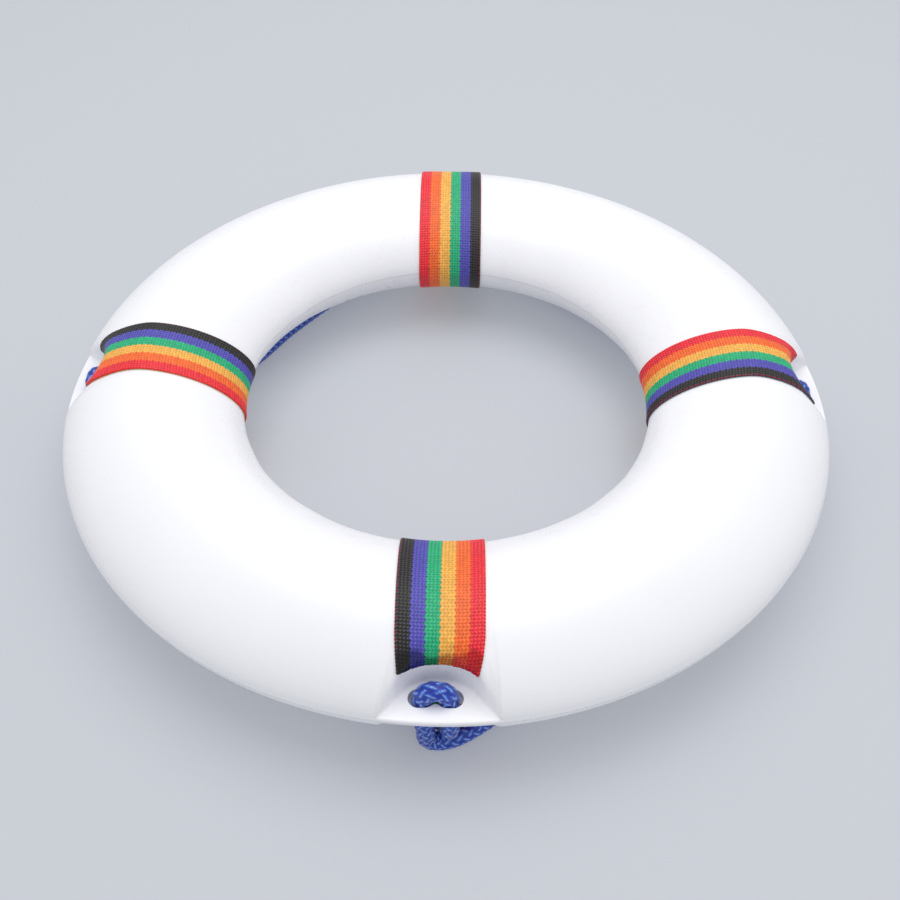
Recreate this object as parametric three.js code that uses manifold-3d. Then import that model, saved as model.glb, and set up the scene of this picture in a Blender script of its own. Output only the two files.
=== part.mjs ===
// A ring lifebuoy of the 56 cm size, in millimetres, +Z up.
//
// The origin is the ring's centre, at the parting plane of its two shell halves. The four slotted lugs
// lie on the axes: right on +X, back on +Y, left on -X and front on -Y. At a lug, r runs outwards.

import * as THREE from 'three';
import { mergeVertices } from 'three/addons/utils/BufferGeometryUtils.js';
import Module from 'manifold-3d';

const wasm = await Module();
wasm.setup();

// Driving dimensions.

const OUTER_RADIUS = 280;
const INNER_RADIUS = 151;
const CREST_RADIUS = 219; // where the tube is tallest
const HALF_HEIGHT = 44.75;
const INNER_ROUNDNESS = 1.7; // exponents of the section's two quarter curves: 2 is an ellipse
const OUTER_ROUNDNESS = 1.6;
const SKIN = 2.5;
const GAP = 0.3; // between neighbouring solids

const LUG_ANGLES = { right: 0, back: 90, left: 180, front: 270 };
const WEB_LEAF = 2.4; // each half's share of the flat lug
const SLOT_RADIUS = 263.5;
const SLOT_LENGTH = 33;
const SLOT_WIDTH = 12.8;
const SLOT_SHIFT = 2; // clockwise from the lug's middle

const POCKET_BACK_RADIUS = 250.5; // the back wall's middle, where it comes nearest to the ring's centre
const POCKET_WALL_CURVE = 34;
const POCKET_CORNER_RADIUS = 260.5;
const POCKET_CORNER_HALF = 24;
const POCKET_FLARE = THREE.MathUtils.degToRad(36.6); // side walls, away from the radial direction
const POCKET_CORNER_ROUND = 5;
const POCKET_MOUTH = 300; // past the rim

const BAND_WIDTH = 51;
const BAND_THICKNESS = 1.4;
const BOND = 0.35; // adhesive under the webbing, left open between the solids

const ROPE_DIAMETER = 12;
const ROPE_SIDES = 10;
const SLEEVE_LENGTH = 56;
const SLEEVE_DIAMETER = 15.4;
const ROPE_END_GAP = 1; // between the butted ends inside the sleeve

const FILL_PLUG = { angle: 45, head: 12, stem: 8, depth: 9 };
const VENT_PLUG = { angle: 225, head: 8, stem: 5, depth: 7 };
const PLUG_HEAD_THICKNESS = 1.8;
const SEAT_THICKNESS = 2.6;
const SEAT_MARGIN = 3;

const RING_SEGMENTS = 60;
const OUTER_STEPS = 10; // over a half section, on the outside
const INNER_STEPS = 8; // the same, on the inside and on the foam
const OUTLINE_STEPS = 4;
const ROUND_SIDES = 20;
const TALL = 70; // past the ring's top or bottom

// Colours.

const white = () => new THREE.MeshStandardMaterial({ color: 0xf7f7fa, roughness: 0.22, metalness: 0 });
const foam = () => new THREE.MeshStandardMaterial({ color: 0xe8dfbd, roughness: 0.9, metalness: 0 });
const webbing = () => new THREE.MeshStandardMaterial({ color: 0xe0a050, roughness: 0.7, metalness: 0 });
const ropeBlue = () => new THREE.MeshStandardMaterial({ color: 0x1c45a8, roughness: 0.65, metalness: 0 });
const sleeveBlack = () => new THREE.MeshStandardMaterial({ color: 0x202226, roughness: 0.5, metalness: 0 });

// Solids.

function solidFrom(geometry, matrix = new THREE.Matrix4()) {
  const bare = geometry.clone().applyMatrix4(matrix);
  bare.deleteAttribute('normal');
  bare.deleteAttribute('uv');
  const merged = mergeVertices(bare, 1e-4);
  return new wasm.Manifold(new wasm.Mesh({
    numProp: 3,
    vertProperties: new Float32Array(merged.attributes.position.array),
    triVerts: new Uint32Array(merged.index.array),
  }));
}

function meshFrom(name, solid, material) {
  const { vertProperties, triVerts } = solid.getMesh();
  const geometry = new THREE.BufferGeometry();
  geometry.setAttribute('position', new THREE.BufferAttribute(vertProperties, 3));
  geometry.setIndex(new THREE.BufferAttribute(triVerts, 1));
  geometry.computeVertexNormals();
  const mesh = new THREE.Mesh(geometry, material);
  mesh.name = name;
  return mesh;
}

const subtractAll = (solid, cutters) => cutters.reduce((left, cutter) => left.subtract(cutter), solid);
const turned = (degrees) => new THREE.Matrix4().makeRotationZ(THREE.MathUtils.degToRad(degrees));

// The tube's section: two superellipse quarters that meet at the crest. grow moves it out or in.
function sectionPoint(angle, grow) {
  const c = Math.cos(angle);
  const s = Math.sin(angle);
  const outer = c >= 0;
  const power = 2 / (outer ? OUTER_ROUNDNESS : INNER_ROUNDNESS);
  const across = (outer ? OUTER_RADIUS - CREST_RADIUS : CREST_RADIUS - INNER_RADIUS) + grow;
  return new THREE.Vector2(
    CREST_RADIUS + across * Math.sign(c) * Math.abs(c) ** power,
    (HALF_HEIGHT + grow) * Math.sign(s) * Math.abs(s) ** power,
  );
}

// A lathe about Z of a closed outline of (radius, z) points that runs counter-clockwise.
function lathe(outline) {
  const geometry = new THREE.LatheGeometry([...outline, outline[0]], RING_SEGMENTS);
  return solidFrom(geometry, new THREE.Matrix4().makeRotationX(Math.PI / 2));
}

function fullRing(grow, halfSteps = OUTER_STEPS) {
  const steps = 2 * halfSteps;
  return lathe(Array.from({ length: steps }, (_, i) => sectionPoint(i / steps * 2 * Math.PI, grow)));
}

// The half of the ring above z = base.
function halfRing(base) {
  const outline = [];
  for (let i = 0; i <= OUTER_STEPS; i += 1) {
    const point = sectionPoint(i / OUTER_STEPS * Math.PI, 0);
    outline.push(new THREE.Vector2(point.x, Math.max(point.y, base)));
  }
  return lathe(outline);
}

// Extrudes a shape drawn with x clockwise along the rim and y along r, from z = from to z = to, at a lug.
function lugPrism(shape, angle, from, to) {
  const geometry = new THREE.ExtrudeGeometry(shape, {
    depth: to - from,
    bevelEnabled: false,
    curveSegments: OUTLINE_STEPS,
  });
  const place = turned(angle - 90).multiply(new THREE.Matrix4().makeTranslation(0, 0, from));
  return solidFrom(geometry, place);
}

// The pocket in plan: a shallow arch for its back wall, and side walls that flare out to the rim.
function pocketOutline(grow) {
  const archCentre = POCKET_BACK_RADIUS + POCKET_WALL_CURVE;
  const archRadius = POCKET_WALL_CURVE + grow;
  const slope = Math.tan(POCKET_FLARE);
  const offset = POCKET_CORNER_HALF - POCKET_CORNER_RADIUS * slope + grow / Math.cos(POCKET_FLARE);
  const sideAt = (r) => slope * r + offset;
  const a = slope * slope + 1;
  const b = 2 * (slope * offset - archCentre);
  const c = offset ** 2 + archCentre ** 2 - archRadius ** 2;
  const cornerRadius = (-b - Math.sqrt(b * b - 4 * a * c)) / (2 * a);
  const corner = new THREE.Vector2(sideAt(cornerRadius), cornerRadius);

  const archEnd = Math.asin(corner.x / archRadius) - POCKET_CORNER_ROUND / archRadius;
  const sideStart = cornerRadius + POCKET_CORNER_ROUND * Math.cos(POCKET_FLARE);
  const archX = archRadius * Math.sin(archEnd);
  const archY = archCentre - archRadius * Math.cos(archEnd);
  const shape = new THREE.Shape();
  shape.moveTo(-sideAt(POCKET_MOUTH), POCKET_MOUTH);
  shape.lineTo(-sideAt(sideStart), sideStart);
  shape.quadraticCurveTo(-corner.x, corner.y, -archX, archY);
  shape.absarc(0, archCentre, archRadius, -Math.PI / 2 - archEnd, -Math.PI / 2 + archEnd, false);
  shape.quadraticCurveTo(corner.x, corner.y, sideAt(sideStart), sideStart);
  shape.lineTo(sideAt(POCKET_MOUTH), POCKET_MOUTH);
  return shape;
}

const pockets = (grow, from, to) =>
  Object.values(LUG_ANGLES).map((angle) => lugPrism(pocketOutline(grow), angle, from, to));

function slotOutline() {
  const end = SLOT_WIDTH / 2;
  const half = SLOT_LENGTH / 2 - end;
  const shape = new THREE.Shape();
  shape.absarc(SLOT_SHIFT + half, SLOT_RADIUS, end, -Math.PI / 2, Math.PI / 2, false);
  shape.absarc(SLOT_SHIFT - half, SLOT_RADIUS, end, Math.PI / 2, Math.PI * 1.5, false);
  return shape;
}

// A disc or shaft under the crest, from z = from to z = to.
function crestCylinder(angle, radius, from, to) {
  const geometry = new THREE.CylinderGeometry(radius, radius, to - from, ROUND_SIDES);
  const upright = new THREE.Matrix4().makeRotationX(Math.PI / 2);
  const place = new THREE.Matrix4().makeTranslation(CREST_RADIUS, 0, (from + to) / 2);
  return solidFrom(geometry, turned(angle).multiply(place).multiply(upright));
}

// Shell: one half of the moulded skin, with its pockets and lug leaves, drawn as the upper half. The
// slots are cut through both halves' leaves at once, because they are off the lugs' middles.

function shellHalf() {
  const cavity = subtractAll(fullRing(-SKIN, INNER_STEPS), pockets(SKIN, -TALL, TALL));
  const skin = halfRing(GAP / 2).subtract(cavity);
  return subtractAll(skin, pockets(0, WEB_LEAF, TALL));
}

function slotted(shell) {
  const slots = Object.values(LUG_ANGLES).map((angle) => lugPrism(slotOutline(), angle, -TALL, TALL));
  return subtractAll(shell, slots);
}

// The flat, recessed seat that a plug's head lies on, moulded into the lower skin.
const plugSeatTop = -HALF_HEIGHT + PLUG_HEAD_THICKNESS + SEAT_THICKNESS;

function withPlugSeat(shell, plug) {
  const seatBottom = plugSeatTop - SEAT_THICKNESS;
  const pad = crestCylinder(plug.angle, plug.head + SEAT_MARGIN, -TALL, plugSeatTop);
  const recess = crestCylinder(plug.angle, plug.head + GAP, -TALL, seatBottom);
  const hole = crestCylinder(plug.angle, plug.stem + GAP, -TALL, 0);
  return shell.add(pad.intersect(fullRing(0))).subtract(recess).subtract(hole);
}

function lowerShell() {
  const flipped = slotted(shellHalf().rotate([180, 0, 0]));
  return withPlugSeat(withPlugSeat(flipped, FILL_PLUG), VENT_PLUG);
}

function plug({ angle, head, stem, depth }) {
  const seatBottom = plugSeatTop - SEAT_THICKNESS;
  const cap = crestCylinder(angle, head, seatBottom - PLUG_HEAD_THICKNESS, seatBottom - GAP);
  return cap.add(crestCylinder(angle, stem, seatBottom - 1, seatBottom + depth));
}

// Foam: fills the skin, with notches where the pockets reach in and hollows behind the plugs.

function foamCore() {
  const clear = SKIN + GAP;
  const hollow = ({ angle, head, depth }) =>
    crestCylinder(angle, head + SEAT_MARGIN + GAP, -TALL, plugSeatTop + depth);
  const core = subtractAll(fullRing(-clear, INNER_STEPS), pockets(clear, -TALL, TALL));
  return subtractAll(core, [hollow(FILL_PLUG), hollow(VENT_PLUG)]);
}

// Webbing: a strip of constant width from the upper pocket's edge, over the crest, round the ring's
// inner side and back along the underside to the lower pocket's edge.

function webbingBand(angle) {
  const strip = fullRing(BOND + BAND_THICKNESS).subtract(fullRing(BOND));
  const slab = solidFrom(
    new THREE.BoxGeometry(BAND_WIDTH, POCKET_MOUTH, 2 * TALL),
    turned(angle - 90).multiply(new THREE.Matrix4().makeTranslation(0, POCKET_MOUTH / 2, 0)),
  );
  return strip.intersect(slab).subtract(lugPrism(pocketOutline(GAP), angle, -TALL, TALL));
}

// Rope. Its centreline is one quarter's route, repeated at each lug: points are (x, y, z) with the
// front lug on -Y and the next lug, counter-clockwise, on +X. It leaves the bight by the clockwise leg,
// drops to the floor, crosses under the leg that arrives, runs to the next lug, and climbs there.

const ROPE_QUARTER = [
  [-2.0, -263.5, 10.2],
  [-7.8, -263.5, 7.8],
  [-10.15, -263.5, 2.0],
  [-10.15, -263.5, -8.0],
  [-9.6, -263.7, -21.0],
  [-8.2, -263.6, -34.0],
  [-7.6, -262.2, -45.0],
  [-1.8, -261.0, -50.6],
  [10.0, -258.0, -51.3],
  [32.0, -243.6, -51.3],
  [62.0, -214.5, -51.3],
  [98.0, -179.0, -50.3],
  [139.0, -138.0, -49.6],
  [180.0, -97.0, -50.3],
  [214.0, -63.0, -51.3],
  [234.0, -40.0, -49.5],
  [240.5, -22.0, -48.3],
  [244.0, -10.5, -46.6],
  [250.0, -1.4, -44.2],
  [256.0, 4.2, -40.6],
  [262.2, 6.4, -34.5],
  [263.8, 6.4, -23.0],
  [263.5, 6.15, -8.0],
  [263.5, 6.15, 2.0],
  [263.5, 3.8, 7.8],
];

// How far the slack strays outward at five points along each quarter's run under the ring.
const SLACK_FROM = 10;
const ROPE_SLACK = [
  [0.0, 0.0, 0.0, 0.0, 0.0],
  [3.0, 4.5, 4.5, 4.5, 3.0],
  [3.0, 4.0, -3.5, -14.5, -9.0],
  [0.0, 0.0, 0.0, 0.0, 0.0],
];

// A curve whose steps fall on its own points, so that tight bends keep as many as long straights.
class RoutedCurve extends THREE.CatmullRomCurve3 {
  getPointAt(u, target) {
    return this.getPoint(u, target);
  }

  getTangentAt(u, target) {
    return this.getTangent(u, target);
  }

  getSpacedPoints(divisions) {
    return this.getPoints(divisions);
  }
}

// The whole loop as an open route, from one end at the joining sleeve round to the other.
function ropeRoute() {
  const joint = ROPE_QUARTER.findIndex(([x, y]) => Math.abs(x + y) < 2);
  const points = [];
  for (let quarter = 0; quarter < 4; quarter += 1) {
    for (const [index, [x, y, z]] of ROPE_QUARTER.entries()) {
      const stray = (ROPE_SLACK[quarter][index - SLACK_FROM] ?? 0) * Math.SQRT1_2;
      const point = new THREE.Vector3(x + stray, y - stray, z);
      points.push(point.applyMatrix4(turned(90 * quarter)));
    }
  }
  const loop = [...points.slice(joint), ...points.slice(0, joint + 1)];
  const middle = loop[0];
  const along = new THREE.Vector3().subVectors(loop[1], loop.at(-2)).normalize();
  const start = middle.clone().addScaledVector(along, ROPE_END_GAP / 2);
  const end = middle.clone().addScaledVector(along, -ROPE_END_GAP / 2);
  return { points: [start, ...loop.slice(1, -1), end], middle, along };
}

function grabRope() {
  const { points } = ropeRoute();
  const section = new THREE.Shape();
  section.absarc(0, 0, ROPE_DIAMETER / 2, 0, 2 * Math.PI, false);
  const geometry = new THREE.ExtrudeGeometry(section, {
    steps: points.length - 1,
    curveSegments: ROPE_SIDES / 2,
    extrudePath: new RoutedCurve(points, false, 'centripetal'),
  });
  return solidFrom(geometry);
}

function joiningSleeve() {
  const { middle, along } = ropeRoute();
  const inner = ROPE_DIAMETER / 2 + GAP + 0.5;
  const outer = SLEEVE_DIAMETER / 2;
  const half = SLEEVE_LENGTH / 2;
  const wall = [
    new THREE.Vector2(inner, -half),
    new THREE.Vector2(outer, -half),
    new THREE.Vector2(outer, half),
    new THREE.Vector2(inner, half),
    new THREE.Vector2(inner, -half),
  ];
  const turn = new THREE.Quaternion().setFromUnitVectors(new THREE.Vector3(0, 1, 0), along);
  const place = new THREE.Matrix4().compose(middle, turn, new THREE.Vector3(1, 1, 1));
  return solidFrom(new THREE.LatheGeometry(wall, ROUND_SIDES), place);
}

const lifebuoy = new THREE.Group();
lifebuoy.add(meshFrom('upper_shell', slotted(shellHalf()), white()));
lifebuoy.add(meshFrom('lower_shell', lowerShell(), white()));
lifebuoy.add(meshFrom('foam_core', foamCore(), foam()));
lifebuoy.add(meshFrom('foam_fill_plug', plug(FILL_PLUG), white()));
lifebuoy.add(meshFrom('foam_vent_plug', plug(VENT_PLUG), white()));
for (const [side, angle] of Object.entries(LUG_ANGLES)) {
  lifebuoy.add(meshFrom(`webbing_band_${side}`, webbingBand(angle), webbing()));
}
lifebuoy.add(meshFrom('grab_rope', grabRope(), ropeBlue()));
lifebuoy.add(meshFrom('rope_joining_sleeve', joiningSleeve(), sleeveBlack()));

export default lifebuoy;
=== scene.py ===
import math

import bmesh
import bpy
import numpy as np
from mathutils import Matrix, Vector


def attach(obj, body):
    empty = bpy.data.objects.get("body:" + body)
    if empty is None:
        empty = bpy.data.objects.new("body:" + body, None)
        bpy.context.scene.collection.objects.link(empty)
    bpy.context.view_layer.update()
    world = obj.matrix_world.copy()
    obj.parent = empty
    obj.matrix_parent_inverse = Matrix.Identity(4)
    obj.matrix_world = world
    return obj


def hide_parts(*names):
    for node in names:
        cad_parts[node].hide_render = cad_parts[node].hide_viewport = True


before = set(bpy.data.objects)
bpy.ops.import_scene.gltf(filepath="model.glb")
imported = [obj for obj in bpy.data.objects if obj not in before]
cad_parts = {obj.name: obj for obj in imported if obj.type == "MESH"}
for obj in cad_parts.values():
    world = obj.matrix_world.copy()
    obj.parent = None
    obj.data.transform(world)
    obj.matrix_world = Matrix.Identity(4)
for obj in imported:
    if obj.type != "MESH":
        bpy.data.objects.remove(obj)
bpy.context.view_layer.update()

# Sizes in millimetres. The ring lies flat: its axis is Z and its mid plane is z = 0.

MM = 0.001
CREST_RADIUS = 219.0
OUTER_RADIUS = 280.0
INNER_RADIUS = 151.0
HALF_HEIGHT = 44.75
OUTER_ROUNDNESS = 1.6
INNER_ROUNDNESS = 1.7
CREST_SOFTNESS = 0.06  # rounds the superellipse off at the crest
SKIN = 2.3
SEAM = 0.15  # half of the parting line between the two shells

WEB_TOP = 2.4
SLOT_RADIUS = 263.5
SLOT_LENGTH = 33.0
SLOT_WIDTH = 12.8
SLOT_SHIFT = 2.0  # clockwise from the lug's middle
SLOT_BULGE = 2.8  # how far its outer edge bows in between the rope's legs
BULGE_SPREAD = 3.4
ARCH_RADIUS = 34.0
ARCH_CENTRE = 284.5
ARCH_HALF = 27.0
CORNER_RADIUS = 260.5
CORNER_HALF = 24.0
FLARE = math.radians(36.6)
CORNER_BLEND = 3.0
MOUTH_RADIUS = 279.6  # where the pocket's wall has run out to nothing
LIP_START = 278.2
EDGE_ROUND = 7.0
FLOOR_FILLET = 3.0

BAND_WIDTH = 51.0
HALF_BAND = BAND_WIDTH / 2
BAND_THICKNESS = 1.4
BOND = 0.35
YARNS = 24
PICK = 2.05  # length of one float of the weave
LUGS = {"front": 270.0, "right": 0.0, "back": 90.0, "left": 180.0}

ROPE_DIAMETER = 12.0
FLOOR_Z = -57.3

# The rope's route, as in the CAD: one quarter, repeated at each lug.

ROPE_QUARTER = [
    (-2.0, -263.5, 10.2), (-7.8, -263.5, 7.8), (-10.15, -263.5, 2.0), (-10.15, -263.5, -8.0),
    (-9.6, -263.7, -21.0), (-8.2, -263.6, -34.0), (-7.6, -262.2, -45.0), (-1.8, -261.0, -50.6),
    (10.0, -258.0, -51.3), (32.0, -243.6, -51.3), (62.0, -214.5, -51.3), (98.0, -179.0, -50.3),
    (139.0, -138.0, -49.6), (180.0, -97.0, -50.3), (214.0, -63.0, -51.3), (234.0, -40.0, -49.5),
    (240.5, -22.0, -48.3), (244.0, -10.5, -46.6), (250.0, -1.4, -44.2), (256.0, 4.2, -40.6),
    (262.2, 6.4, -34.5), (263.8, 6.4, -23.0), (263.5, 6.15, -8.0), (263.5, 6.15, 2.0),
    (263.5, 3.8, 7.8),
]

# How far the slack strays outward at five points along each quarter's run under the ring.

SLACK_FROM = 10
ROPE_SLACK = [
    (0.0, 0.0, 0.0, 0.0, 0.0),
    (3.0, 4.5, 4.5, 4.5, 3.0),
    (3.0, 4.0, -3.5, -14.5, -9.0),
    (0.0, 0.0, 0.0, 0.0, 0.0),
]
JOINT_INDEX = 12


def turned(points, degrees):
    """Points (n, 3) turned about Z."""
    a = math.radians(degrees)
    c, s = math.cos(a), math.sin(a)
    points = np.asarray(points, float)
    out = points.copy()
    out[..., 0] = c * points[..., 0] - s * points[..., 1]
    out[..., 1] = s * points[..., 0] + c * points[..., 1]
    return out


def smoothstep(x):
    x = np.clip(x, 0.0, 1.0)
    return x * x * (3.0 - 2.0 * x)


# Camera, in metres and degrees.


def make_camera():
    position = Vector((0.00284, -0.60778, 0.56512))
    aim = Vector((0.0028, -0.0588, 0.0))
    spin = Matrix.Rotation(math.radians(0.52), 4, "Z")
    data = bpy.data.cameras.new("camera")
    data.sensor_width = 36.0
    data.lens = 44.09
    data.clip_start = 0.01
    camera = bpy.data.objects.new("camera", data)
    bpy.context.scene.collection.objects.link(camera)
    look = (aim - position).to_track_quat("-Z", "Y").to_matrix().to_4x4()
    roll = Matrix.Rotation(math.radians(0.45), 4, "Z")
    camera.matrix_world = spin @ Matrix.Translation(position) @ look @ roll
    bpy.context.scene.camera = camera


make_camera()

# Meshes and materials.


def mesh_object(name, verts, faces, attributes=None, sharp=None, merge=None):
    """A mesh object from points in millimetres. attributes are floats per point."""
    mesh = bpy.data.meshes.new(name)
    mesh.from_pydata((np.asarray(verts) * MM).tolist(), [], [list(f) for f in faces])
    for key, values in (attributes or {}).items():
        layer = mesh.attributes.new(key, "FLOAT", "POINT")
        layer.data.foreach_set("value", np.asarray(values, np.float32).ravel())
    mesh.validate()
    if merge:
        bm = bmesh.new()
        bm.from_mesh(mesh)
        bmesh.ops.remove_doubles(bm, verts=bm.verts, dist=merge * MM)
        bmesh.ops.dissolve_degenerate(bm, dist=merge * MM * 0.5, edges=bm.edges)
        bm.to_mesh(mesh)
        bm.free()
    mesh.polygons.foreach_set("use_smooth", [True] * len(mesh.polygons))
    if sharp:
        mesh.set_sharp_from_angle(angle=math.radians(sharp))
    obj = bpy.data.objects.new(name, mesh)
    bpy.context.scene.collection.objects.link(obj)
    return obj


def grid_faces(rows, columns, wrap_rows=False, wrap_columns=False, start=0, flip=False):
    """Quads of a grid whose point (i, j) has index start + i * columns + j."""
    i = np.arange(rows if wrap_rows else rows - 1)
    j = np.arange(columns if wrap_columns else columns - 1)
    i, j = np.meshgrid(i, j, indexing="ij")
    i2, j2 = (i + 1) % rows, (j + 1) % columns
    quads = [i * columns + j, i2 * columns + j, i2 * columns + j2, i * columns + j2]
    if flip:
        quads.reverse()
    return (np.stack(quads, -1).reshape(-1, 4) + start).tolist()


class Shader:
    """A material's node tree, with a Principled shader that is already linked."""

    def __init__(self, name):
        self.material = bpy.data.materials.new(name)
        self.material.use_nodes = True
        self.tree = self.material.node_tree
        self.surface = self.tree.nodes["Principled BSDF"]

    def put(self, socket, value):
        if isinstance(value, bpy.types.NodeSocket):
            self.tree.links.new(value, socket)
        else:
            socket.default_value = value

    def node(self, kind, inputs=None, **settings):
        node = self.tree.nodes.new(kind)
        for key, value in settings.items():
            setattr(node, key, value)
        for key, value in (inputs or {}).items():
            self.put(node.inputs[key], value)
        return node

    def set(self, **values):
        for key, value in values.items():
            self.put(self.surface.inputs[key.replace("_", " ")], value)

    def attribute(self, name):
        return self.node("ShaderNodeAttribute", attribute_name=name).outputs["Fac"]

    def position(self):
        return self.node("ShaderNodeTexCoord").outputs["Object"]

    def noise(self, scale, detail=2.0, rough=0.5, vector=None):
        inputs = {"Scale": scale, "Detail": detail, "Roughness": rough}
        inputs["Vector"] = vector or self.position()
        return self.node("ShaderNodeTexNoise", inputs).outputs["Fac"]

    def math(self, operation, a, b=0.0, clamp=False):
        return self.node(
            "ShaderNodeMath", {0: a, 1: b}, operation=operation, use_clamp=clamp
        ).outputs[0]

    def spread(self, value, low, high, to_low, to_high):
        return self.node(
            "ShaderNodeMapRange",
            {"Value": value, "From Min": low, "From Max": high,
             "To Min": to_low, "To Max": to_high},
        ).outputs[0]

    def mix(self, factor, a, b, blend="MIX"):
        node = self.node("ShaderNodeMix", data_type="RGBA", blend_type=blend)
        self.put(node.inputs[0], factor)
        self.put(node.inputs[6], a)
        self.put(node.inputs[7], b)
        return node.outputs[2]

    def bump(self, height, distance, strength=1.0, normal=None):
        inputs = {"Height": height, "Distance": distance, "Strength": strength}
        if normal:
            inputs["Normal"] = normal
        return self.node("ShaderNodeBump", inputs).outputs["Normal"]


def srgb(r, g, b):
    """8-bit display values as a linear colour."""
    out = []
    for v in (r, g, b):
        v /= 255.0
        out.append(v / 12.92 if v <= 0.04045 else ((v + 0.055) / 1.055) ** 2.4)
    return (*out, 1.0)


def dress(obj, material, slot, *nodes):
    """Gives a piece its material and body, and hides the CAD nodes that it stands for; slot is not
    used.
    """
    obj.data.materials.clear()
    obj.data.materials.append(material)
    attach(obj, "root")
    if nodes:
        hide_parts(*nodes)
    return obj


# Rope centreline.


def catmull_rom(points, samples):
    """Centripetal Catmull-Rom through the points, with that many samples per span."""
    points = np.asarray(points, float)
    before = 2 * points[0] - points[1]
    after = 2 * points[-1] - points[-2]
    p = np.vstack([before, points, after])
    out = []
    for k in range(1, len(p) - 2):
        gaps = [np.linalg.norm(p[k + j] - p[k + j - 1]) ** 0.5 for j in range(3)]
        d0, d1, d2 = gaps
        a = (p[k] - p[k - 1]) / d0 - (p[k + 1] - p[k - 1]) / (d0 + d1)
        m1 = (a + (p[k + 1] - p[k]) / d1) * d1
        b = (p[k + 1] - p[k]) / d1 - (p[k + 2] - p[k]) / (d1 + d2)
        m2 = (b + (p[k + 2] - p[k + 1]) / d2) * d1
        t = np.linspace(0.0, 1.0, samples, endpoint=False)[:, None]
        c2 = 3 * (p[k + 1] - p[k]) - 2 * m1 - m2
        c3 = 2 * (p[k] - p[k + 1]) + m1 + m2
        out.append(p[k] + m1 * t + c2 * t ** 2 + c3 * t ** 3)
    return np.vstack(out + [p[-2:-1]])


def arc_lengths(line):
    steps = np.linalg.norm(np.diff(line, axis=0), axis=1)
    return np.concatenate([[0.0], np.cumsum(steps)])


def resampled(line, places):
    s = arc_lengths(line)
    return np.stack([np.interp(places, s, line[:, k]) for k in range(3)], 1)


def rope_line():
    quarters = []
    for q, slack in enumerate(ROPE_SLACK):
        quarter = np.array(ROPE_QUARTER)
        run = slice(SLACK_FROM, SLACK_FROM + len(slack))
        quarter[run, 0] += np.array(slack) * math.sqrt(0.5)
        quarter[run, 1] -= np.array(slack) * math.sqrt(0.5)
        quarters.append(turned(quarter, 90 * q))
    points = np.vstack(quarters)
    loop = np.vstack([points[JOINT_INDEX:], points[: JOINT_INDEX + 1]])
    along = loop[1] - loop[-2]
    along /= np.linalg.norm(along)
    middle = loop[0].copy()
    loop[0] = middle + 0.5 * along
    loop[-1] = middle - 0.5 * along
    line = catmull_rom(loop, 40)
    line[:, 2] = np.maximum(line[:, 2], FLOOR_Z + ROPE_DIAMETER / 2)
    return line


ROPE = rope_line()
ROPE_LENGTH = arc_lengths(ROPE)[-1]


def frames_along(line):
    """Two unit vectors across the line at each point, carried along it without twist."""
    tangent = np.gradient(line, axis=0)
    tangent /= np.linalg.norm(tangent, axis=1)[:, None]
    side = np.cross(tangent[0], (0.0, 0.0, 1.0))
    sides = [side / np.linalg.norm(side)]
    for t in tangent[1:]:
        side = sides[-1] - np.dot(sides[-1], t) * t
        sides.append(side / np.linalg.norm(side))
    sides = np.array(sides)
    return tangent, sides, np.cross(tangent, sides)


def tube(line, radius, angles):
    """Points of a tube: radius is (points along, points around)."""
    _, side, up = frames_along(line)
    c, s = np.cos(angles)[None, :, None], np.sin(angles)[None, :, None]
    return line[:, None] + radius[..., None] * (side[:, None] * c + up[:, None] * s)


def capped(rows, columns):
    """Faces of a tube with both ends closed."""
    faces = grid_faces(rows, columns, wrap_columns=True)
    faces.append(list(range(columns)))
    faces.append(list(range((rows - 1) * columns, rows * columns))[::-1])
    return faces


# Rope: twelve strands, six each way, plaited over one and under one.

ROPE_AROUND = 60
STRANDS = 6
BRAID_PITCH = 7.0  # along the rope, from one strand to the next that runs the same way
ROPE_STEP = 0.9
STRAND_HALF = 0.56  # half a strand's width, as a share of the gap to the next
PLAIT_MEAN, PLAIT_SWING = 0.56, 0.44  # a strand's height as it goes over and under
BRAID_SUNK = 1.05  # how far the plait's low places lie inside the rope's nominal surface
BRAID_DEPTH = 1.15


def rope_material():
    shader = Shader("blue_braid")
    relief = shader.attribute("relief")
    glint_ridge = shader.attribute("glint_ridge")
    speckle = shader.noise(900.0, 3.0)
    patches = shader.noise(60.0, 2.0)
    deep = shader.mix(patches, srgb(10, 44, 158), srgb(22, 66, 192))
    # Painted shade: the plait's hollows are darkened by their depth.
    shade = shader.spread(relief, 0.0, 0.8, 0.2, 1.0)
    body = shader.mix(1.0, deep, shade, "MULTIPLY")
    # Painted highlight: light-blue glints along the strands' ridges, broken up by noise.
    painted_glint = shader.math("MULTIPLY", glint_ridge, shader.spread(speckle, 0.3, 0.62, 0.25, 1.0), True)
    colour = shader.mix(shader.math("MULTIPLY", painted_glint, 0.9), body, srgb(150, 200, 255))
    fibres = shader.noise(2600.0, 2.0)
    shader.set(
        Base_Color=colour,
        Roughness=shader.spread(speckle, 0.2, 0.8, 0.28, 0.5),
        Sheen_Weight=0.25,
        Normal=shader.bump(fibres, 0.00012, 0.5),
    )
    shader.surface.inputs["Sheen Roughness"].default_value = 0.4
    return shader.material


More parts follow.
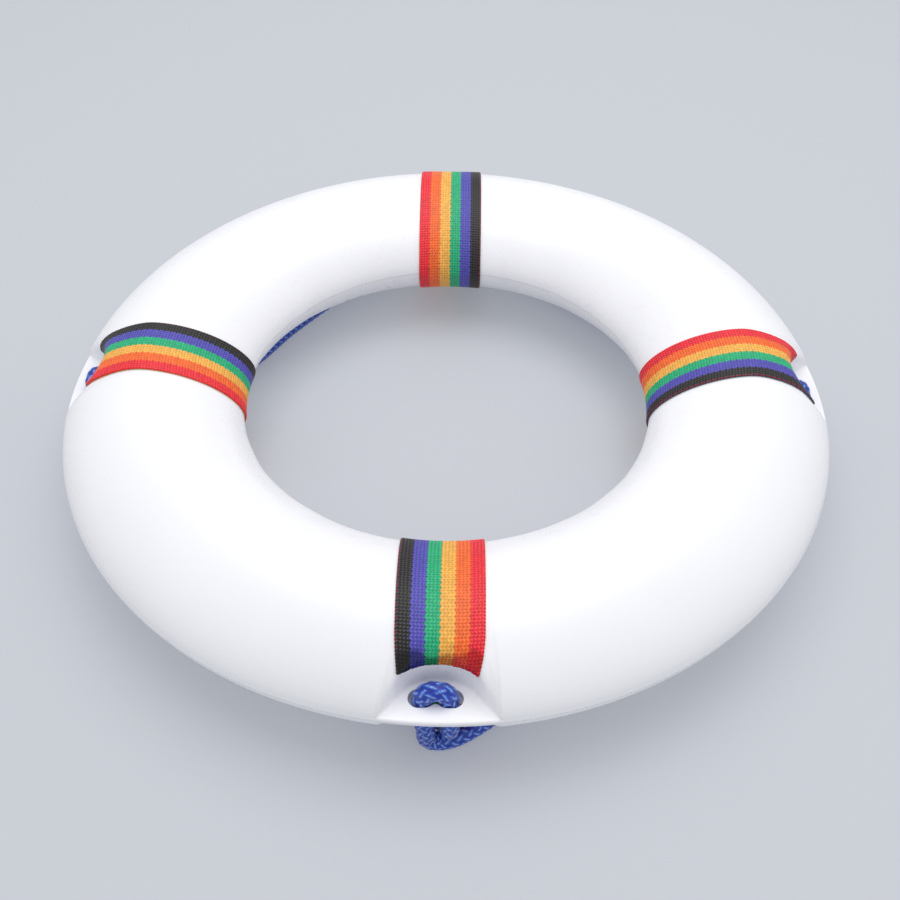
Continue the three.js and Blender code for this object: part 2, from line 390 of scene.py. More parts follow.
def braid(theta, s):
    """Height from 0 to 1 of the plait at (around, along), and how near a strand's ridge it is."""
    across = STRANDS * theta / (2 * math.pi)
    lay = s / BRAID_PITCH
    a, b = across + lay, across - lay
    near_a, near_b = np.round(a), np.round(b)
    off_a, off_b = a - near_a, b - near_b
    turn_a = np.cos(math.pi * b) * np.where(near_a % 2 == 0, 1.0, -1.0)
    turn_b = -np.cos(math.pi * a) * np.where(near_b % 2 == 0, 1.0, -1.0)
    rise_a = PLAIT_MEAN + PLAIT_SWING * turn_a
    high_a = np.sqrt(np.maximum(0.0, 1 - (off_a / STRAND_HALF) ** 2)) * rise_a
    rise_b = PLAIT_MEAN + PLAIT_SWING * turn_b
    high_b = np.sqrt(np.maximum(0.0, 1 - (off_b / STRAND_HALF) ** 2)) * rise_b
    height = np.maximum(high_a, high_b)
    off = np.where(high_a > high_b, off_a, off_b)
    ridge = smoothstep(1.25 - np.abs(off + 0.05) / 0.13) * smoothstep((height - 0.3) / 0.35)
    return height, ridge


def make_rope():
    s = np.linspace(0.0, ROPE_LENGTH, round(ROPE_LENGTH / ROPE_STEP))
    line = resampled(ROPE, s)
    angles = np.arange(ROPE_AROUND) / ROPE_AROUND * 2 * math.pi
    pitch_fit = s * (round(ROPE_LENGTH / BRAID_PITCH) * BRAID_PITCH / ROPE_LENGTH)
    theta, along = np.meshgrid(angles, pitch_fit)
    height, ridge = braid(theta, along)
    wobble = 0.10 * np.sin(along / 17.0 + 2 * theta) + 0.08 * np.sin(along / 29.0 - theta)
    radius = ROPE_DIAMETER / 2 - BRAID_SUNK + BRAID_DEPTH * height + wobble
    verts = tube(line, radius, angles).reshape(-1, 3)
    faces = capped(len(s), ROPE_AROUND)
    # The strands' ridges carry the painted light-blue highlights of the material.
    rope = mesh_object("rope", verts, faces, {"relief": height, "glint_ridge": ridge})
    return dress(rope, rope_material(), "blue_braid", "grab_rope")


def sleeve_material():
    shader = Shader("shrink_sleeve")
    grain = shader.noise(500.0, 4.0)
    wide = shader.noise(70.0, 2.0)
    shader.set(
        Base_Color=shader.mix(wide, srgb(24, 25, 28), srgb(44, 45, 50)),
        Roughness=shader.spread(grain, 0.3, 0.7, 0.32, 0.55),
        Normal=shader.bump(grain, 0.0002, 0.4),
    )
    return shader.material


SLEEVE_LENGTH = 56.0
SLEEVE_BORE = 6.35  # radius
SLEEVE_RADIUS = 6.95  # before the plait and the nipped ends show through
SLEEVE_SIDES = 48
SLEEVE_STEPS = 113
JOINT_REACH = 60  # points of the route on each side of the joint


def make_sleeve():
    """Heat-shrunk tube over the butted rope ends: it shows the plait and nips in at its ends."""
    half = SLEEVE_LENGTH / 2
    joint = (ROPE[-1] + ROPE[0]) / 2
    ends = np.vstack([ROPE[-JOINT_REACH:-1], joint, ROPE[1:JOINT_REACH]])
    s = arc_lengths(ends)
    middle = s[JOINT_REACH - 1]
    places = np.linspace(middle - half, middle + half, SLEEVE_STEPS)
    line = resampled(ends, places)
    along = places - middle
    angles = np.arange(SLEEVE_SIDES) / SLEEVE_SIDES * 2 * math.pi
    theta, x = np.meshgrid(angles, along)
    height, _ = braid(theta, x)
    edge = (half - np.abs(x)) / 3.0
    outer = SLEEVE_RADIUS + 0.45 * smoothstep(edge) + 0.22 * height
    outer -= 0.35 * np.exp(-((x / 2.2) ** 2))
    outer += 0.25 * np.exp(-(((half - 1.2 - np.abs(x)) / 0.8) ** 2))
    outer += 0.06 * np.sin(theta * 3 + x * 0.5)
    skin = tube(line, outer, angles)
    ends_in = tube(line, np.full_like(outer, SLEEVE_BORE), angles)
    verts = np.vstack([ends_in[:1], skin, ends_in[-1:]]).reshape(-1, 3)
    rows = len(verts) // SLEEVE_SIDES
    faces = grid_faces(rows, SLEEVE_SIDES, wrap_columns=True)
    last = (rows - 1) * SLEEVE_SIDES
    for k in range(SLEEVE_SIDES):
        k2 = (k + 1) % SLEEVE_SIDES
        faces.append([k, k2, last + k2, last + k])
    sleeve = mesh_object("joining_sleeve", verts, faces, sharp=50)
    return dress(sleeve, sleeve_material(), "shrink_sleeve", "rope_joining_sleeve")


rope = make_rope()
sleeve = make_sleeve()

# Ring section.


def surface_height(r, grow=0.0):
    """Height of the tube's surface over the mid plane at radius r, moved out by grow."""
    r = np.asarray(r, float)
    outer = r >= CREST_RADIUS
    across = np.where(outer, OUTER_RADIUS - CREST_RADIUS, CREST_RADIUS - INNER_RADIUS) + grow
    n = np.where(outer, OUTER_ROUNDNESS, INNER_ROUNDNESS)
    u = np.clip(np.abs(r - CREST_RADIUS) / across, 0.0, 1.0)
    e = CREST_SOFTNESS
    g = ((u * u + e * e) ** (n / 2) - e ** n) / ((1 + e * e) ** (n / 2) - e ** n)
    return (HALF_HEIGHT + grow) * np.clip(1 - g, 0.0, 1.0) ** (1 / n)


SECTION_POINTS = 1201
CREST_POINT = SECTION_POINTS // 2


def half_section(grow=0.0):
    """(r, z) from the inner rim over the crest to the outer rim."""
    angle = np.linspace(math.pi, 0.0, SECTION_POINTS)
    c = np.cos(angle)
    outer = c >= 0
    power = np.where(outer, 2 / OUTER_ROUNDNESS, 2 / INNER_ROUNDNESS)
    across = np.where(outer, OUTER_RADIUS - CREST_RADIUS, CREST_RADIUS - INNER_RADIUS) + grow
    r = CREST_RADIUS + across * np.sign(c) * np.abs(c) ** power
    return np.stack([r, surface_height(r, grow)], 1)


class Section:
    """The half section by its arc length, from the inner rim."""

    def __init__(self, grow):
        self.points = half_section(grow)
        self.s = arc_lengths(self.points)

    def at(self, s):
        return np.stack([np.interp(s, self.s, self.points[:, k]) for k in (0, 1)], -1)

    def s_at_radius(self, r):
        return np.interp(r, self.points[:, 0], self.s)

    def s_at_height(self, z):
        """The place on the inner side at that height."""
        return np.interp(z, self.points[:CREST_POINT, 1], self.s[:CREST_POINT])


# Pockets.

WALL_SEARCH = (235.0, 310.0)  # radii between which the pocket's wall is looked for
HALVINGS = 40


def pocket_depth(across, out):
    """How far a point is inside the pocket's outline in plan; out is along the lug's radius."""
    along_arch = np.sqrt(ARCH_RADIUS ** 2 - np.minimum(np.abs(across), ARCH_HALF) ** 2)
    arch = (out - ARCH_CENTRE + along_arch) * along_arch / ARCH_RADIUS
    slope = math.tan(FLARE)
    offset = CORNER_HALF - CORNER_RADIUS * slope
    side = (slope * out + offset - np.abs(across)) * math.cos(FLARE)
    h = np.clip(0.5 + 0.5 * (side - arch) / CORNER_BLEND, 0.0, 1.0)
    return side * (1 - h) + arch * h - CORNER_BLEND * h * (1 - h)


def wall_radius(azimuth, depth):
    """Radius at which a ray from the ring's axis reaches that depth in the pocket."""
    azimuth = np.asarray(azimuth, float)
    low, high = (np.full(azimuth.shape, radius) for radius in WALL_SEARCH)
    for _ in range(HALVINGS):
        middle = (low + high) / 2
        inside = pocket_depth(middle * np.sin(azimuth), middle * np.cos(azimuth)) > depth
        high = np.where(inside, middle, high)
        low = np.where(inside, low, middle)
    return high


def bezier(a, b, c, count):
    t = np.linspace(0.0, 1.0, count + 1)[1:, None]
    return (1 - t) ** 2 * np.asarray(a) + 2 * t * (1 - t) * np.asarray(b) + t * t * np.asarray(c)


def straight(a, b, count):
    t = np.linspace(0.0, 1.0, count + 1)[1:, None]
    return (1 - t) * np.asarray(a) + t * np.asarray(b)


# Shells.

SECTION = Section(0.0)
LINING = Section(-SKIN)
LINING_RIM = 277.6
COVER_STEPS = 46
LINING_STEPS = 18
MAX_STRETCH = 2.2  # the most that a rounding widens where the ray is oblique
ROUND_SHARE = 0.45  # the most of the wall's drop that one rounding takes
LUG_SPAN, FINE_STEP, COARSE_STEPS = 9.5, 0.205, 29  # azimuths in degrees
SWELL, RIM_SWELL = 0.22, 0.45  # share of the waviness in height and at the inner rim


def pocket_edge(azimuth):
    """Radius of the pocket's wall, its drop, how obliquely the ray meets it, and its rounding."""
    wall = float(min(wall_radius(azimuth, 0.0), MOUTH_RADIUS))
    stretch = float(wall_radius(azimuth, 1.0) - wall_radius(azimuth, 0.0))
    drop = max(float(surface_height(wall)) - WEB_TOP, 0.0)
    if wall >= MOUTH_RADIUS:
        drop, stretch = 0.0, 1.0
    turn = min(EDGE_ROUND, ROUND_SHARE * drop)
    return wall, drop, stretch, turn, turn * min(stretch, MAX_STRETCH)


def outer_profile(azimuth):
    """(r, z) of the skin's outer face at an azimuth from the nearest lug's middle."""
    wall, drop, stretch, turn, back = pocket_edge(azimuth)
    top = float(surface_height(wall))
    fillet = min(FLOOR_FILLET, ROUND_SHARE * drop)
    run = min(fillet * min(stretch, MAX_STRETCH), 0.8 * max(LIP_START - wall, 0.0))
    end = SECTION.s_at_radius(wall - back)
    start = SECTION.s_at_height(SEAM)
    x = np.linspace(0.0, 1.0, COVER_STEPS)
    cover = SECTION.at(start + (end - start) * (0.6 * x + 0.4 * x ** 1.8))
    lip = max(LIP_START, wall + run)
    parts = [
        cover,
        bezier(cover[-1], (wall, top), (wall, top - turn), 5),
        straight((wall, top - turn), (wall, WEB_TOP + fillet), 6),
        bezier((wall, WEB_TOP + fillet), (wall, WEB_TOP), (wall + run, WEB_TOP), 5),
        straight((wall + run, WEB_TOP), (lip, WEB_TOP), 6),
    ]
    rounded = bezier((lip, WEB_TOP), (OUTER_RADIUS, WEB_TOP), (OUTER_RADIUS, SEAM), 7)
    from_s = SECTION.s_at_radius(min(lip, MOUTH_RADIUS))
    plain = SECTION.at(np.linspace(from_s, SECTION.s[-1], 8)[1:])
    plain[-1] = (OUTER_RADIUS, SEAM)
    w = smoothstep((wall - LIP_START) / (MOUTH_RADIUS - LIP_START))
    parts.append(rounded * (1 - w) + plain * w)
    return np.vstack(parts)


def lining_profile(azimuth):
    """(r, z) of the skin's inner face, from the outer rim back to the inner rim."""
    wall = float(min(wall_radius(azimuth, -SKIN), LINING_RIM))
    top = float(surface_height(wall, -SKIN))
    start = LINING.s_at_height(SEAM)
    x = np.linspace(0.0, 1.0, LINING_STEPS)
    cover = LINING.at(start + (LINING.s_at_radius(wall) - start) * x)
    down = straight(cover[-1], (wall, SEAM), 3) if top > SEAM else straight(cover[-1], cover[-1], 3)
    out = straight(down[-1], (OUTER_RADIUS, SEAM), 3)[:-1]
    return np.vstack([cover, down, out])[::-1]


def column_azimuths():
    """Azimuths from one lug's middle to the next one's, fine beside the lugs."""
    fine = np.arange(0.0, LUG_SPAN, FINE_STEP)
    coarse = np.linspace(LUG_SPAN, 45.0, COARSE_STEPS)
    half = np.concatenate([fine, coarse])
    return np.concatenate([half, 90.0 - half[-2:0:-1]])


def waviness(azimuth, phase):
    """Slow unevenness of the moulding, in millimetres; none where the bands lie."""
    from_lug = np.abs((azimuth + 45.0) % 90.0 - 45.0)
    a = np.radians(azimuth)
    wave = 0.5 * np.sin(7 * a + 0.6) + 0.35 * np.sin(13 * a + 2.1 + phase)
    wave += 0.3 * np.sin(23 * a + 4.0 - phase)
    return wave * smoothstep((from_lug - 11.0) / 9.0)


def shell_mesh(name, lower):
    quarter = column_azimuths()
    azimuths = np.concatenate([quarter + 90.0 * q for q in range(4)])
    rings = []
    for azimuth in quarter:
        local = math.radians((azimuth + 45.0) % 90.0 - 45.0)
        rings.append(np.vstack([outer_profile(local), lining_profile(local)]))
    rings = np.array(rings * 4)
    cover = np.zeros(rings.shape[:2])
    fade = np.sin(np.linspace(0.0, math.pi, COVER_STEPS)) ** 0.5
    cover[:, :COVER_STEPS] = fade
    swell = waviness(azimuths, 1.7 if lower else 0.0)[:, None] * cover
    inner_fade = np.exp(-((rings[..., 0] - INNER_RADIUS) / 16.0) ** 2)
    rim = waviness(azimuths, 0.0)[:, None] * inner_fade
    r = rings[..., 0] + RIM_SWELL * rim
    z = rings[..., 1] + SWELL * swell
    a = np.radians(azimuths)[:, None]
    verts = np.stack([r * np.cos(a), r * np.sin(a), -z if lower else z], -1)
    rows, columns = verts.shape[:2]
    faces = grid_faces(rows, columns, True, True, flip=lower)
    return mesh_object(name, verts.reshape(-1, 3), faces, merge=0.02)


def stadium_prism(name, angle, low, high):
    """A slot cutter at a lug."""
    radius = SLOT_WIDTH / 2
    half = SLOT_LENGTH / 2 - radius
    turn = np.radians(np.linspace(-90.0, 90.0, 17))
    right = np.stack([half + radius * np.cos(turn), SLOT_RADIUS + radius * np.sin(turn)], 1)
    outer = np.linspace(half, -half, 21)[1:-1]
    bulge = SLOT_BULGE * np.exp(-((outer / BULGE_SPREAD) ** 2))
    front = np.stack([outer, SLOT_RADIUS + radius - bulge], 1)
    outline = np.vstack([right, front, np.stack([-right[::-1, 0], right[::-1, 1]], 1)])
    outline[:, 0] += SLOT_SHIFT
    count = len(outline)
    verts = []
    for z in (low, high):
        flat = np.column_stack([outline, np.full(count, z)])
        verts.append(turned(flat, angle - 90.0))
    faces = grid_faces(2, count, wrap_columns=True, flip=True)
    faces += [list(range(count))[::-1], list(range(count, 2 * count))]
    return mesh_object(name, np.vstack(verts), faces)


DISC_SIDES = 64


def disc_prism(name, angle, radius, low, high):
    """A round cutter under the crest."""
    turn = np.arange(DISC_SIDES) / DISC_SIDES * 2 * math.pi
    ring = np.stack([CREST_RADIUS + radius * np.cos(turn), radius * np.sin(turn)], 1)
    flats = [np.column_stack([ring, np.full(DISC_SIDES, z)]) for z in (low, high)]
    verts = [turned(flat, angle) for flat in flats]
    faces = grid_faces(2, DISC_SIDES, wrap_columns=True, flip=True)
    faces += [list(range(DISC_SIDES))[::-1], list(range(DISC_SIDES, 2 * DISC_SIDES))]
    return mesh_object(name, np.vstack(verts), faces)


def cut(obj, cutters):
    """Subtracts the cutters from obj, and removes them."""
    for cutter in cutters:
        modifier = obj.modifiers.new("cut", "BOOLEAN")
        modifier.operation = "DIFFERENCE"
        modifier.solver = "EXACT"
        modifier.object = cutter
    bpy.context.view_layer.update()
    evaluated = obj.evaluated_get(bpy.context.evaluated_depsgraph_get())
    mesh = bpy.data.meshes.new_from_object(evaluated)
    obj.modifiers.clear()
    old, obj.data = obj.data, mesh
    bpy.data.meshes.remove(old)
    for cutter in cutters:
        bpy.data.objects.remove(cutter)
    mesh.polygons.foreach_set("use_smooth", [True] * len(mesh.polygons))
    mesh.set_sharp_from_angle(angle=math.radians(40))


def white_material():
    shader = Shader("gloss_white")
    cloud = shader.noise(9.0, 3.0)
    scuff = shader.noise(55.0, 5.0, 0.7)
    peel = shader.noise(420.0, 2.0)
    colour = shader.mix(cloud, srgb(240, 240, 244), srgb(247, 247, 250))
    shader.set(
        Base_Color=colour,
        Roughness=shader.spread(scuff, 0.35, 0.7, 0.24, 0.4),
        Normal=shader.bump(peel, 0.00008, 0.35, shader.bump(cloud, 0.0012, 0.2)),
    )
    return shader.material


WHITE = white_material()

PLUG_SEAT = -42.95  # height of the plugs' recesses, in the underside
PLUG_GAP = 0.3
FILL_PLUG = {"name": "fill_plug", "angle": 45.0, "head": 12.0, "stem": 8.0, "depth": 9.0}
VENT_PLUG = {"name": "vent_plug", "angle": 225.0, "head": 8.0, "stem": 5.0, "depth": 7.0}


def make_shells():
    upper = shell_mesh("shell_upper", lower=False)
    cut(upper, [stadium_prism("slot", a, -3.0, 9.0) for a in LUGS.values()])
    dress(upper, WHITE, "gloss_white", "upper_shell")
    lower = shell_mesh("shell_lower", lower=True)
    cutters = [stadium_prism("slot", a, -9.0, 3.0) for a in LUGS.values()]
    for p in (FILL_PLUG, VENT_PLUG):
        cutters.append(disc_prism("recess", p["angle"], p["head"] + PLUG_GAP, -60.0, PLUG_SEAT))
        bore = p["stem"] + PLUG_GAP
        cutters.append(disc_prism("hole", p["angle"], bore, PLUG_SEAT - 0.5, -30.0))
    cut(lower, cutters)
    dress(lower, WHITE, "gloss_white", "lower_shell")


make_shells()


def lathe_object(name, profile, sides=64, **kwargs):
    """A closed lathe about Z of an outline whose first and last points are on the axis."""
    turn = np.arange(sides) / sides * 2 * math.pi
    rings = np.asarray(profile[1:-1], float)
    r, a = np.meshgrid(rings[:, 0], turn, indexing="ij")
    z = np.repeat(rings[:, 1][:, None], sides, 1)
    verts = np.stack([r * np.cos(a), r * np.sin(a), z], -1).reshape(-1, 3)
    count = len(rings)
    faces = grid_faces(count, sides, wrap_columns=True, flip=True)
    first, last = len(verts), len(verts) + 1
    poles = [[0.0, 0.0, profile[0][1]], [0.0, 0.0, profile[-1][1]]]
    for k in range(sides):
        k2 = (k + 1) % sides
        faces.append([first, k2, k])
        base = (count - 1) * sides
        faces.append([last, base + k, base + k2])
    return mesh_object(name, np.vstack([verts, poles]), faces, **kwargs)


def plug_material():
    shader = Shader("plug_white")
    cloud = shader.noise(120.0, 3.0)
    grain = shader.noise(1500.0, 2.0)
    shader.set(
        Base_Color=shader.mix(cloud, srgb(226, 227, 230), srgb(238, 238, 240)),
        Roughness=shader.spread(cloud, 0.3, 0.7, 0.35, 0.5),
        Normal=shader.bump(grain, 0.00006, 0.4),
    )
    return shader.material


PLUG_MATERIAL = plug_material()


def make_plug(plug):
    """A pressed-in plug: a domed head with a raised ring, over a barbed stem."""
    head, stem, depth = plug["head"], plug["stem"], plug["depth"]
    low, high = PLUG_SEAT - 1.8, PLUG_SEAT - 0.3
    profile = [
        (0.0, low + 0.35), (0.8, low + 0.35), (1.4, low + 0.62), (1.9, low + 0.35),
        (head * 0.42, low + 0.3), (head * 0.5, low + 0.62), (head * 0.56, low + 0.62),
        (head * 0.62, low + 0.25), (head * 0.7, low + 0.02), (head * 0.88, low),
        (head - 0.45, low + 0.1), (head - 0.12, low + 0.35), (head, low + 0.75),
        (head, high - 0.1), (head - 0.1, high), (stem, high), (stem, PLUG_SEAT + 2.6),
        (stem - 0.6, PLUG_SEAT + 3.0), (stem - 0.6, PLUG_SEAT + depth - 2.6),
        (stem, PLUG_SEAT + depth - 2.2), (stem - 1.4, PLUG_SEAT + depth), (0.0, PLUG_SEAT + depth),
    ]
    obj = lathe_object(plug["name"], profile, sharp=45)
    place = turned([[CREST_RADIUS, 0.0, 0.0]], plug["angle"])[0] * MM
    obj.data.transform(Matrix.Translation(Vector(place)))
    return dress(obj, PLUG_MATERIAL, "plug_white", "foam_" + plug["name"])


make_plug(FILL_PLUG)
make_plug(VENT_PLUG)

# Webbing.


def band_material():
    shader = Shader("rainbow_webbing")
    yarn = shader.attribute("yarn")
    relief = shader.attribute("relief")
    tint = shader.attribute("tint")
    shade_and_melt = shader.attribute("shade_and_melt")
    ramp = shader.node("ShaderNodeValToRGB", {"Fac": yarn})
    ramp.color_ramp.interpolation = "CONSTANT"
    stripes = [
        (0.0, srgb(150, 20, 40)), (0.009, srgb(26, 22, 23)), (1 / 6, srgb(80, 74, 178)),
        (2 / 6, srgb(16, 178, 120)), (3 / 6, srgb(250, 182, 76)), (4 / 6, srgb(253, 108, 34)),
        (5 / 6, srgb(244, 34, 50)),
    ]
    stops = ramp.color_ramp.elements
    stops[0].position, stops[0].color = stripes[0]
    stops[1].position, stops[1].color = stripes[1]
    for position, colour in stripes[2:]:
        stops.new(position).color = colour
    dye = ramp.outputs["Color"]
    varied = shader.mix(1.0, dye, shader.spread(tint, 0.0, 1.0, 0.86, 1.1), "MULTIPLY")
    # Painted highlight: the tops of the floats are lightened towards white as glints.
    glinted_dye = shader.mix(shader.spread(relief, 0.75, 1.0, 0.0, 0.07), varied, (1.0, 1.0, 1.0, 1.0))
    # Painted shade: the weave's hollows are darkened by their depth.
    shade = shader.spread(relief, 0.0, 0.75, 0.34, 1.0)
    deep = shader.mix(1.0, glinted_dye, shade, "MULTIPLY")
    richer = shader.mix(1.0, deep, deep, "MULTIPLY")
    # Painted shade where the band's end curves down away from the light, together with its darker
    # glazed hot-cut ends: the dye is made richer and darker there.
    shaded_melted_dye = shader.mix(1.0, shader.mix(0.75, deep, richer), (0.72, 0.72, 0.72, 1.0), "MULTIPLY")
    shaded_melted_colour = shader.mix(shade_and_melt, deep, shaded_melted_dye)
    fibres = shader.noise(3200.0, 2.0)
    shader.set(
        Base_Color=shaded_melted_colour,
        Roughness=shader.spread(shade_and_melt, 0.0, 1.0, 0.36, 0.22),
        Normal=shader.bump(fibres, 0.0001, 0.4),
        Specular_IOR_Level=0.35,
    )
    return shader.material


BAND_MATERIAL = band_material()
YARN_SAMPLES = 5
PICK_SAMPLES = 4
BACK_COLUMNS = 13
BACK_LIFT = -0.1  # the webbing's back face, over the bond
END_CURVE = 2.2  # how sharply a band's end turns towards its corners
FRAY, FRAY_SPAN, FRAY_POINTS = 0.3, 26.0, 40  # unevenness of the cut ends

# Where a band's black and red edges lie, at distances from the end at the upper pocket.

STRAIGHT_EDGES = [(0.0, -25.0, 24.6), (14.0, -25.5, 25.6), (60.0, -25.6, 25.6)]
BAND_EDGES = {
    "front": [(0.0, -24.4, 22.5), (5.0, -24.9, 23.8), (12.0, -25.5, 25.2), (22.0, -26.1, 26.2),
              (60.0, -26.3, 26.3), (120.0, -26.6, 26.6), (175.0, -25.6, 25.6)],
    "right": [(0.0, -27.6, 24.6), (10.0, -26.8, 25.2), (25.0, -25.8, 25.4), (60.0, -25.6, 25.5)],
    "back": STRAIGHT_EDGES,
    "left": [(0.0, -23.4, 27.2), (60.0, -23.6, 27.2), (120.0, -24.6, 26.4), (170.0, -25.5, 25.5)],
}

# Arc length from the ring's inner rim to a band's end, at its black edge, middle and red edge.

BAND_ENDS = {
    "front": (136.4, 133.3, 137.4),
    "right": (141.5, 136.0, 138.5),
    "back": (134.0, 134.2, 133.6),
    "left": (141.5, 135.0, 131.0),
}
HANG = 18.0  # the longest that a band could hang below the rounded edge


def folded_path(across):
    """(r, z) along one yarn: over the ring's inner side and crest, then down the pocket's wall."""
    low, high = 240.0, 280.0
    for _ in range(HALVINGS):
        out = (low + high) / 2
        if pocket_depth(across, out) > 0.0:
            high = out
        else:
            low = out
    wall, _, _, turn, back = pocket_edge(math.atan2(across, out))
    top = float(surface_height(wall))
    flat = SECTION.points[SECTION.points[:, 0] < wall - back]
    corner = bezier(flat[-1], (wall, top), (wall, top - turn), 12)
    down = straight(corner[-1], (wall, top - turn - HANG), 8)
    return np.vstack([flat, corner, down])


def weave(yarn, pick):
    """Relief of the webbing at (yarn number, pick number), and the yarn that is on top."""
    swing = 0.27 * (1 - 4 * np.abs((pick / 2) % 1.0 - 0.5))
    place = yarn - swing
    off = place - np.floor(place) - 0.5
    along = pick - np.floor(pick) - 0.5
    ridge = np.sqrt(np.maximum(0.0, 1 - (off / 0.52) ** 2))
    bead = np.sqrt(np.maximum(0.0, 1 - (along / 0.525) ** 2))
    return ridge * (0.12 + 0.88 * bead), place


def band_mesh(name, angle, seed):
    rng = np.random.default_rng(seed)
    columns = YARNS * YARN_SAMPLES + 1
    across = np.linspace(-HALF_BAND, HALF_BAND, columns)
    side_name = name.split("_")[1]
    from_end, black_edge, red_edge = np.array(BAND_EDGES[side_name]).T
    end_across = np.interp(across, [-HALF_BAND, HALF_BAND], [black_edge[0], red_edge[0]])
    black_end, middle_end, red_end = BAND_ENDS[side_name]
    corner_end = np.where(across < 0, black_end, red_end)
    reach = middle_end + (corner_end - middle_end) * np.abs(across / HALF_BAND) ** END_CURVE
    fray = rng.uniform(-FRAY, FRAY, FRAY_POINTS)
    reach += np.interp(across, np.linspace(-FRAY_SPAN, FRAY_SPAN, FRAY_POINTS), fray)
    paths = [folded_path(x) for x in end_across]
    lengths = [arc_lengths(path) for path in paths]
    longest = reach.max()
    rows = int(2 * longest / (PICK / PICK_SAMPLES)) + 1
    # Arc length from the inner rim: positive over the top, negative along the underside.
    v = np.linspace(-longest, longest, rows)
    grid_v = np.clip(v[:, None], -reach[None], reach[None])
    yarn = (across + HALF_BAND) / BAND_WIDTH * YARNS
    yarn_grid = np.repeat(yarn[None], rows, 0)
    pick = grid_v / PICK
    relief, place = weave(yarn_grid, pick)
    edge = (HALF_BAND - np.abs(across))[None]
    scallop = 0.35 * (0.5 + 0.5 * np.cos(2 * math.pi * pick))
    taper = smoothstep((edge + 0.3) / 1.2)
    to_end = np.minimum(reach[None] - grid_v, reach[None] + grid_v)
    melted = smoothstep(1 - to_end / 1.3)
    height = (0.35 + 0.75 * relief) * (1 - 0.5 * melted) + 0.45 * melted
    lift = BAND_THICKNESS - 0.75 + 0.85 * height * (0.35 + 0.65 * taper)
    lift = np.where(melted > 0.98, lift * 0.75, lift)
    side = np.where(edge < 0.01, 1.0, 0.0) * np.sign(across)[None] * (scallop - 0.15)

    def placed(t, s, lift_by, chosen):
        points = np.empty((*t.shape, 3))
        for k, column in enumerate(chosen):
            path, length = paths[column], lengths[column]
            top = np.abs(s[:, k])

            def at(where):
                return np.stack([np.interp(where, length, path[:, axis]) for axis in (0, 1)], -1)

            tangent = at(top + 0.6) - at(np.maximum(top - 0.6, 0.0))
            tangent /= np.linalg.norm(tangent, axis=1)[:, None]
            normal = np.stack([-tangent[:, 1], tangent[:, 0] * smoothstep(top / 1.5)], -1)
            normal /= np.linalg.norm(normal, axis=1)[:, None]
            rho, z = (at(top) + normal * (BOND + lift_by[:, k])[:, None]).T
            out = np.sqrt(np.maximum(rho ** 2 - t[:, k] ** 2, 0.0))
            points[:, k] = np.stack([t[:, k], out, np.where(s[:, k] < 0, -z, z)], -1)
        return points

    to_top_end = reach[None] - grid_v
    share = (across / BAND_WIDTH + 0.5)[None]
    black_at = np.interp(to_top_end, from_end, black_edge)
    red_at = np.interp(to_top_end, from_end, red_edge)
    t = black_at + (red_at - black_at) * share + side
    front = placed(t, grid_v, lift, range(columns))
    pick_back = np.linspace(0, columns - 1, BACK_COLUMNS).round().astype(int)
    inside = np.full((rows, BACK_COLUMNS), BACK_LIFT)
    back = placed(t[:, pick_back], grid_v[:, pick_back], inside, pick_back)
    verts = np.vstack([front.reshape(-1, 3), back.reshape(-1, 3)])
    # Across runs clockwise to counter-clockwise seen from above: x is mirrored into place.
    verts = turned(verts * np.array([-1.0, 1.0, 1.0]), angle - 90.0)
    start = rows * columns
    faces = grid_faces(rows, columns, flip=True)
    faces += grid_faces(rows, BACK_COLUMNS, start=start)
    for i in range(rows - 1):
        a, b = i * columns, (i + 1) * columns
        c, d = start + i * BACK_COLUMNS, start + (i + 1) * BACK_COLUMNS
        faces.append([a, b, d, c])
        e, f = a + columns - 1, b + columns - 1
        g, h = c + BACK_COLUMNS - 1, d + BACK_COLUMNS - 1
        faces.append([f, e, g, h])
    for i, flip in ((0, False), (rows - 1, True)):
        for k in range(BACK_COLUMNS - 1):
            j0, j1 = pick_back[k], pick_back[k + 1]
            ring = [i * columns + int(j) for j in range(j0, j1 + 1)]
            ring += [start + i * BACK_COLUMNS + k + 1, start + i * BACK_COLUMNS + k]
            faces.append(ring[::-1] if flip else ring)
    cell = np.floor(place).astype(int) * 1009 + np.floor(pick).astype(int)
    tint = np.modf(np.abs(np.sin(cell * 12.9898 + seed) * 43758.5453))[0]
    # Painted shade: darker over about the last 13 mm before the upper pocket's end, where the band
    # curves down away from the light, strongest on the front band. The glazed hot-cut ends darken
    # too, and the band grows darker towards its lower end.
    shade_reach = 13.0 + 2.5 * np.sin(across / 7.0 + seed) + 1.2 * np.sin(across / 2.7)
    shade_and_melt = smoothstep((shade_reach[None] - to_top_end) / 4.0) * (1.0 if name.endswith("front") else 0.3)
    darker_lower_end = smoothstep((9.0 - (reach[None] + grid_v)) / 5.0) * 0.4
    shade_and_melt = np.maximum(np.maximum(shade_and_melt, darker_lower_end), melted * 0.7)

    def both(values, fill):
        return np.concatenate([np.broadcast_to(values, (rows, columns)).ravel(),
                               np.full(rows * BACK_COLUMNS, fill)])

    attributes = {
        "yarn": both(np.clip(place / YARNS, 0.0, 0.999), 0.5),
        "relief": both(relief * (1 - 0.4 * melted), 0.4),
        "tint": both(tint, 0.5),
        "shade_and_melt": both(shade_and_melt, 0.0),
    }
    return mesh_object(name, verts, faces, attributes, merge=0.01), float(reach.mean())


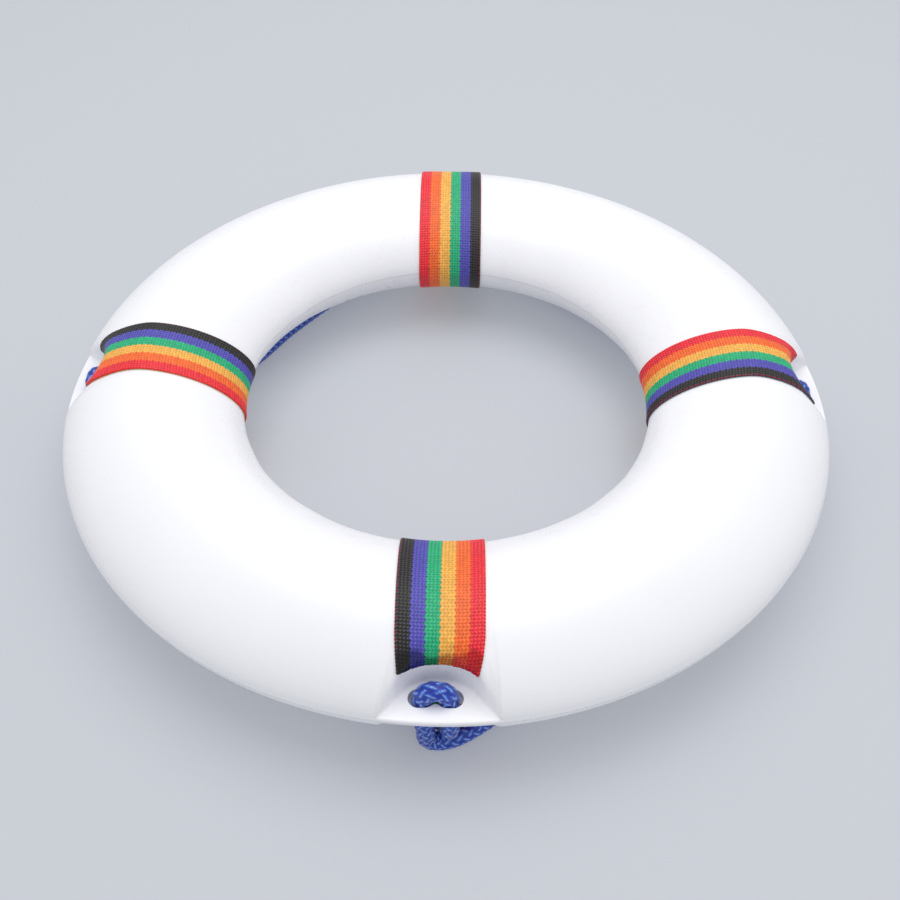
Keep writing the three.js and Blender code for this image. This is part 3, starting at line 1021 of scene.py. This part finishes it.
for number, (side_name, lug_angle) in enumerate(LUGS.items()):
    band, mean_reach = band_mesh("band_" + side_name, lug_angle, 11 + number)
    dress(band, BAND_MATERIAL, "rainbow_webbing", "webbing_band_" + side_name)


def foam_material():
    shader = Shader("closed_cell_foam")
    cells = shader.node(
        "ShaderNodeTexVoronoi",
        {"Vector": shader.position(), "Scale": 700.0},
        feature="DISTANCE_TO_EDGE",
    ).outputs["Distance"]
    cloud = shader.noise(30.0, 3.0)
    shader.set(
        Base_Color=shader.mix(cloud, srgb(222, 210, 176), srgb(236, 226, 196)),
        Roughness=0.85,
        Normal=shader.bump(cells, 0.0006, 0.6),
    )
    return shader.material


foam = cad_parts["foam_core"]
foam.data.materials.clear()
foam.data.materials.append(foam_material())

# Floor and light.

FLOOR_HALF = 4000.0


def make_floor():
    half = FLOOR_HALF
    plan = [(-half, -half), (half, -half), (half, half), (-half, half)]
    corners = [(x, y, FLOOR_Z) for x, y in plan]
    floor = mesh_object("floor", corners, [[0, 1, 2, 3]])
    shader = Shader("floor")
    shader.set(
        Base_Color=srgb(158, 160, 165),
        Roughness=0.7,
        # Painted light: the floor glows as well, to lift the shadows on it and to light the ring's
        # underside.
        Emission_Color=srgb(127, 130, 135),
        Emission_Strength=1.0,
    )
    floor.data.materials.append(shader.material)


def area_light(name, place, aim, size, power, colour=(1.0, 1.0, 1.0)):
    data = bpy.data.lights.new(name, "AREA")
    data.shape = "RECTANGLE"
    data.size, data.size_y = size
    data.energy = power
    data.color = colour
    light = bpy.data.objects.new(name, data)
    bpy.context.scene.collection.objects.link(light)
    light.location = place
    light.rotation_euler = (Vector(aim) - Vector(place)).to_track_quat("-Z", "Y").to_euler()


def make_light():
    world = bpy.data.worlds.new("studio")
    world.use_nodes = True
    world.node_tree.nodes["Background"].inputs["Color"].default_value = (0.97, 0.98, 1.0, 1.0)
    world.node_tree.nodes["Background"].inputs["Strength"].default_value = 0.75
    bpy.context.scene.world = world
    area_light("overhead", (0.1, 0.25, 1.7), (0.0, 0.0, 0.0), (1.6, 1.6), 16.0)


make_floor()
make_light()
bpy.context.scene.view_settings.view_transform = "Standard"
